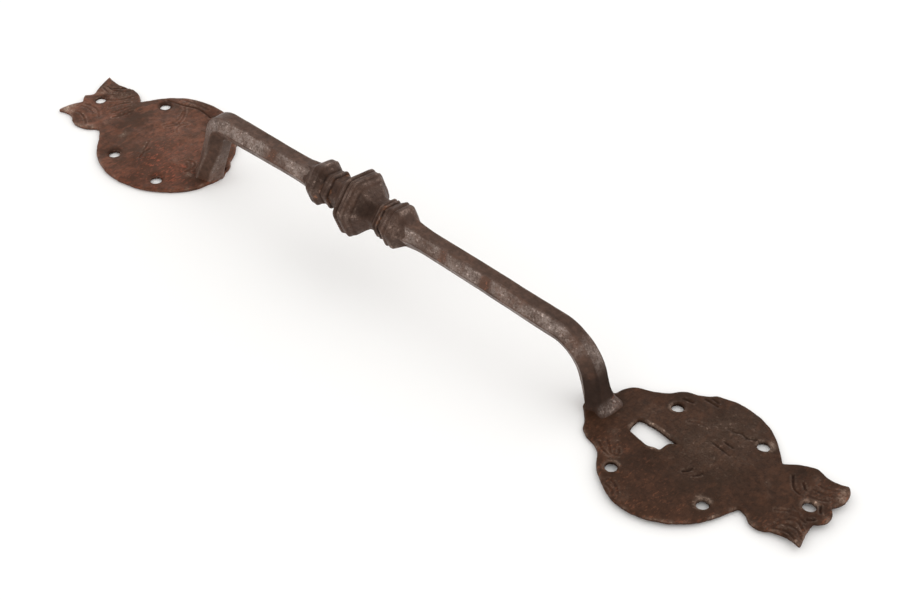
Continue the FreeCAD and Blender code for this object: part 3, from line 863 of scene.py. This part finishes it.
def plate_relief(plate, flat, loops, lines, cuts):
    """Heights of a plate's front and back, with the marks and distances that its wear needs."""
    seed = plate.seed
    solid = np.column_stack([flat, np.zeros(len(flat))])
    from_rim = nearest(flat, loops[0])
    from_hole = nearest(flat, np.vstack(loops[1:]))
    from_line, from_cut = nearest(flat, lines), nearest(flat, cuts)
    swells = ripple(solid, 13, seed + 21) * plate.hammer
    swells += ripple(solid, 5.0, seed + 22) * plate.hammer * 0.40
    swells += ripple(solid, 1.7, seed + 23) * 0.045
    firmness = 0.8 + 0.5 * ripple(solid, 7, seed + 24)
    groove = np.exp(-(from_line / 0.60) ** 2) * LINE_DEPTH * firmness
    cut = np.exp(-(from_cut / 0.50) ** 2) * CUT_DEPTH * firmness
    lip = np.exp(-((from_line - 0.95) / 0.40) ** 2) * 0.10 + np.exp(-((from_cut - 1.0) / 0.35) ** 2) * 0.08
    hole_rim = np.exp(-((from_hole - 0.6) / 0.5) ** 2)
    burr = hole_rim * plate.burr * (1 + ripple(solid, 3, seed + 25))
    dished = np.exp(-(from_hole / 1.1) ** 2) * plate.dish
    rim_drop = rounded_edge(from_rim, 0.42) + rounded_edge(from_hole, 0.22)
    from_middle = np.linalg.norm(flat - (plate.disc_x, 0), axis=1)
    arched = plate.bow * np.clip(1 - (from_middle / DISC_RADIUS) ** 2, 0, 1)
    arched += plate.near_lift * smooth_step(5, DISC_RADIUS, -flat[:, 1])
    front = PLATE_THICK - 0.05 + swells - groove - cut + lip + burr - dished - rim_drop + arched
    back = rounded_edge(np.minimum(from_rim, from_hole), 0.12) + 0.02 + arched
    return SimpleNamespace(
        solid=solid, front=front, back=back, from_rim=from_rim, from_hole=from_hole, swells=swells,
        firmness=firmness, groove=groove, cut=cut, lip=lip, hole_rim=hole_rim, dished=dished)


def plate_wear(plate, flat, relief):
    """Where a plate's front is worn bare, rusty and grimy, with painted shade."""
    seed = plate.seed
    spots = smooth_step(-0.1, 0.5, ripple(relief.solid, 5, seed + 31))
    swells = relief.swells / plate.hammer
    bare_and_highlight = np.exp(-(relief.from_rim / 0.6) ** 2) * 0.45 * spots
    bare_and_highlight += np.exp(-(relief.from_hole / 0.5) ** 2) * 0.35 * spots
    bare_and_highlight += smooth_step(0.2, 0.8, relief.lip / 0.10) * 0.25 * relief.firmness
    bare_and_highlight += smooth_step(0.4, 0.9, swells) * 0.18
    bare_and_highlight += relief.hole_rim * smooth_step(0.1, 0.3, plate.burr) * spots * 0.5
    bare_and_highlight += spread_spots(flat, plate.disc_x, plate.worn)
    rust = 0.10 + np.exp(-(relief.from_rim / 1.5) ** 2) * 0.30
    rust += spread_spots(flat, plate.disc_x, plate.rust)
    rust *= 0.75 + 0.5 * ripple(relief.solid, 6, seed + 32)
    hollows = smooth_step(0.25, 0.8, -swells)
    grime_and_shade = relief.groove / LINE_DEPTH * 0.38 + relief.cut / CUT_DEPTH + hollows * 0.30
    # Soot spots with painted shade, and painted shade in the dish round each hole.
    grime_and_shade += spread_spots(flat, plate.disc_x, plate.soot_and_shade) + relief.dished / max(plate.dish, 0.1) * 0.7
    return {"bare_and_highlight": bare_and_highlight, "rust": rust, "grime_and_shade": grime_and_shade}


def plate_shell(flat, triangles, front, back):
    """Front, back and walls with a slight belly. The last rows of points are the walls' middles."""
    count = len(flat)
    rim_edges = {}
    for tri in triangles:
        for k in range(3):
            a, b = int(tri[k]), int(tri[(k + 1) % 3])
            if (b, a) in rim_edges:
                del rim_edges[(b, a)]
            else:
                rim_edges[(a, b)] = True
    rim_points = sorted({a for a, b in rim_edges})
    push = np.zeros((count, 2))
    for a, b in rim_edges:
        step = flat[b] - flat[a]
        side = np.array([step[1], -step[0]]) / max(np.linalg.norm(step), 1e-9)
        push[a] += side
        push[b] += side
    belly = np.array([push[p] / max(np.linalg.norm(push[p]), 1e-9) for p in rim_points])
    points = np.vstack([
        np.column_stack([flat, front]),
        np.column_stack([flat, back]),
        np.column_stack([flat[rim_points] + belly * 0.16, (front[rim_points] + back[rim_points]) / 2]),
    ])
    middle_of = {point: 2 * count + index for index, point in enumerate(rim_points)}
    faces = [tuple(int(k) for k in tri) for tri in triangles]
    faces += [tuple(int(k) + count for k in tri[::-1]) for tri in triangles]
    for a, b in rim_edges:
        faces.append((b, a, middle_of[a], middle_of[b]))
        faces.append((middle_of[b], middle_of[a], a + count, b + count))
    return points, faces, rim_points


def bend_leaf(points, disc_x, rise, start_x, end_x, drift):
    """Lift the leaf off the ground, more towards its tip, where it also drifts sideways."""
    share = np.clip((points[:, 0] - (disc_x + start_x)) / (end_x - start_x), 0, 1) ** 1.6
    points[:, 2] += rise * share
    points[:, :2] += np.outer(share * rise, drift)


def build_plate(plate):
    """A hammered plate with worn edges, chased lines and punched holes."""
    loops = worn_loops(plate)
    lines, cuts = chased(plate.disc_x, plate.lines), chased(plate.disc_x, plate.cuts)
    flat, triangles = triangulated(loops, scattered(loops, np.vstack([lines, cuts]), plate.seed))
    relief = plate_relief(plate, flat, loops, lines, cuts)
    points, faces, rim_points = plate_shell(flat, triangles, relief.front, relief.back)
    if plate.leaf_bend:
        bend_leaf(points, plate.disc_x, *plate.leaf_bend)

    # The back is plain, the outer walls are rusty and darkened, partly with painted shade, and the holes'
    # walls carry painted shade unless worn.
    wear = plate_wear(plate, flat, relief)
    on_hole = nearest(flat[rim_points], np.vstack(loops[1:])) < 0.05
    wall_worn = np.clip(spread_spots(flat[rim_points], plate.disc_x, plate.worn), 0, 1)
    used = sorted({k for face in faces for k in face})
    fields = {}
    for name, back_value, rim_value, hole_value in (
            ("bare_and_highlight", 0.05, 0.10, wall_worn), ("rust", 0.4, 0.30, 0.1), ("grime_and_shade", 0.2, 0.45, 1 - wall_worn)):
        walls = np.where(on_hole, hole_value, rim_value)
        values = np.concatenate([wear[name], np.full(len(flat), back_value), walls])
        fields[name] = np.clip(values, 0, 1)[used]
    place = {old: new for new, old in enumerate(used)}
    faces = [tuple(place[k] for k in face) for face in faces]
    new_piece("iron_" + plate.node, points[used], faces, fields, plate.iron, plate.node)


# The object ------------------------------------------------------------------------------
build_grip_bar()
for number, collar in enumerate(COLLARS):
    build_collar(collar, 100 + 10 * number)
build_plate(UPPER_PLATE)
build_plate(LOWER_PLATE)


# Floor, light and camera --------------------------------------------------------------------

def build_floor():
    """A plain pale floor that the door pull lies on."""
    half = 4.0
    mesh = bpy.data.meshes.new("floor")
    corners = [(-half, -half, 0), (half, -half, 0), (half, half, 0), (-half, half, 0)]
    mesh.from_pydata(corners, [], [(0, 1, 2, 3)])
    material = bpy.data.materials.new("pale_floor")
    material.use_nodes = True
    shader = material.node_tree.nodes["Principled BSDF"]
    shader.inputs["Base Color"].default_value = (0.93, 0.923, 0.914, 1)
    shader.inputs["Roughness"].default_value = 0.9
    shader.inputs["Specular IOR Level"].default_value = 0.1
    mesh.materials.append(material)
    floor = bpy.data.objects.new("floor", mesh)
    bpy.context.scene.collection.objects.link(floor)


def soft_light(name, place, target, size, power):
    """A square area light at a place, facing a target, in metres and watts."""
    light = bpy.data.lights.new(name, "AREA")
    light.size = size
    light.energy = power
    lamp = bpy.data.objects.new(name, light)
    lamp.location = place
    lamp.rotation_euler = (Vector(target) - Vector(place)).to_track_quat("-Z", "Y").to_euler()
    bpy.context.scene.collection.objects.link(lamp)


def build_light():
    """A white light tent, brighter at its sides than overhead, and two large soft lights."""
    world = bpy.data.worlds.new("studio")
    world.use_nodes = True
    background = world.node_tree.nodes["Background"]
    background.inputs["Color"].default_value = (1.0, 0.995, 0.985, 1)
    nodes, links = world.node_tree.nodes, world.node_tree.links
    direction = nodes.new("ShaderNodeTexCoord").outputs["Generated"]
    parts = nodes.new("ShaderNodeSeparateXYZ")
    links.new(direction, parts.inputs["Vector"])
    strength = nodes.new("ShaderNodeMapRange")
    strength.inputs["To Min"].default_value = 1.50
    strength.inputs["To Max"].default_value = 0.72
    links.new(parts.outputs["Z"], strength.inputs["Value"])
    links.new(strength.outputs["Result"], background.inputs["Strength"])
    bpy.context.scene.world = world
    soft_light("key", (0.8, 1.2, 1.5), (0, 0, 0), 2.8, 14)
    soft_light("fill", (-1.2, -1.4, 1.3), (0, 0, 0), 2.2, 4)


def build_camera():
    """The camera stands over the lower plate's side and looks down along the grip."""
    data = bpy.data.cameras.new("camera")
    data.lens = 66.83
    data.sensor_width = 36.0
    data.clip_start = 0.01
    camera = bpy.data.objects.new("camera", data)
    pitch, roll = 0.7293, 0.01
    level = Vector((-0.6621, 0.7494, 0)).normalized()
    right = Vector((level.y, -level.x, 0))
    look = level * math.cos(pitch) - Vector((0, 0, 1)) * math.sin(pitch)
    top = level * math.sin(pitch) + Vector((0, 0, 1)) * math.cos(pitch)
    side = right * math.cos(roll) + top * math.sin(roll)
    above = top * math.cos(roll) - right * math.sin(roll)
    matrix = Matrix.Identity(4)
    for column, axis in enumerate((side, above, -look)):
        matrix.col[column].xyz = axis
    matrix.translation = Vector((0.3808, -0.3953, 0.4804))
    camera.matrix_world = matrix
    bpy.context.scene.collection.objects.link(camera)
    bpy.context.scene.camera = camera


build_floor()
build_light()
build_camera()
bpy.context.scene.view_settings.view_transform = "Standard"
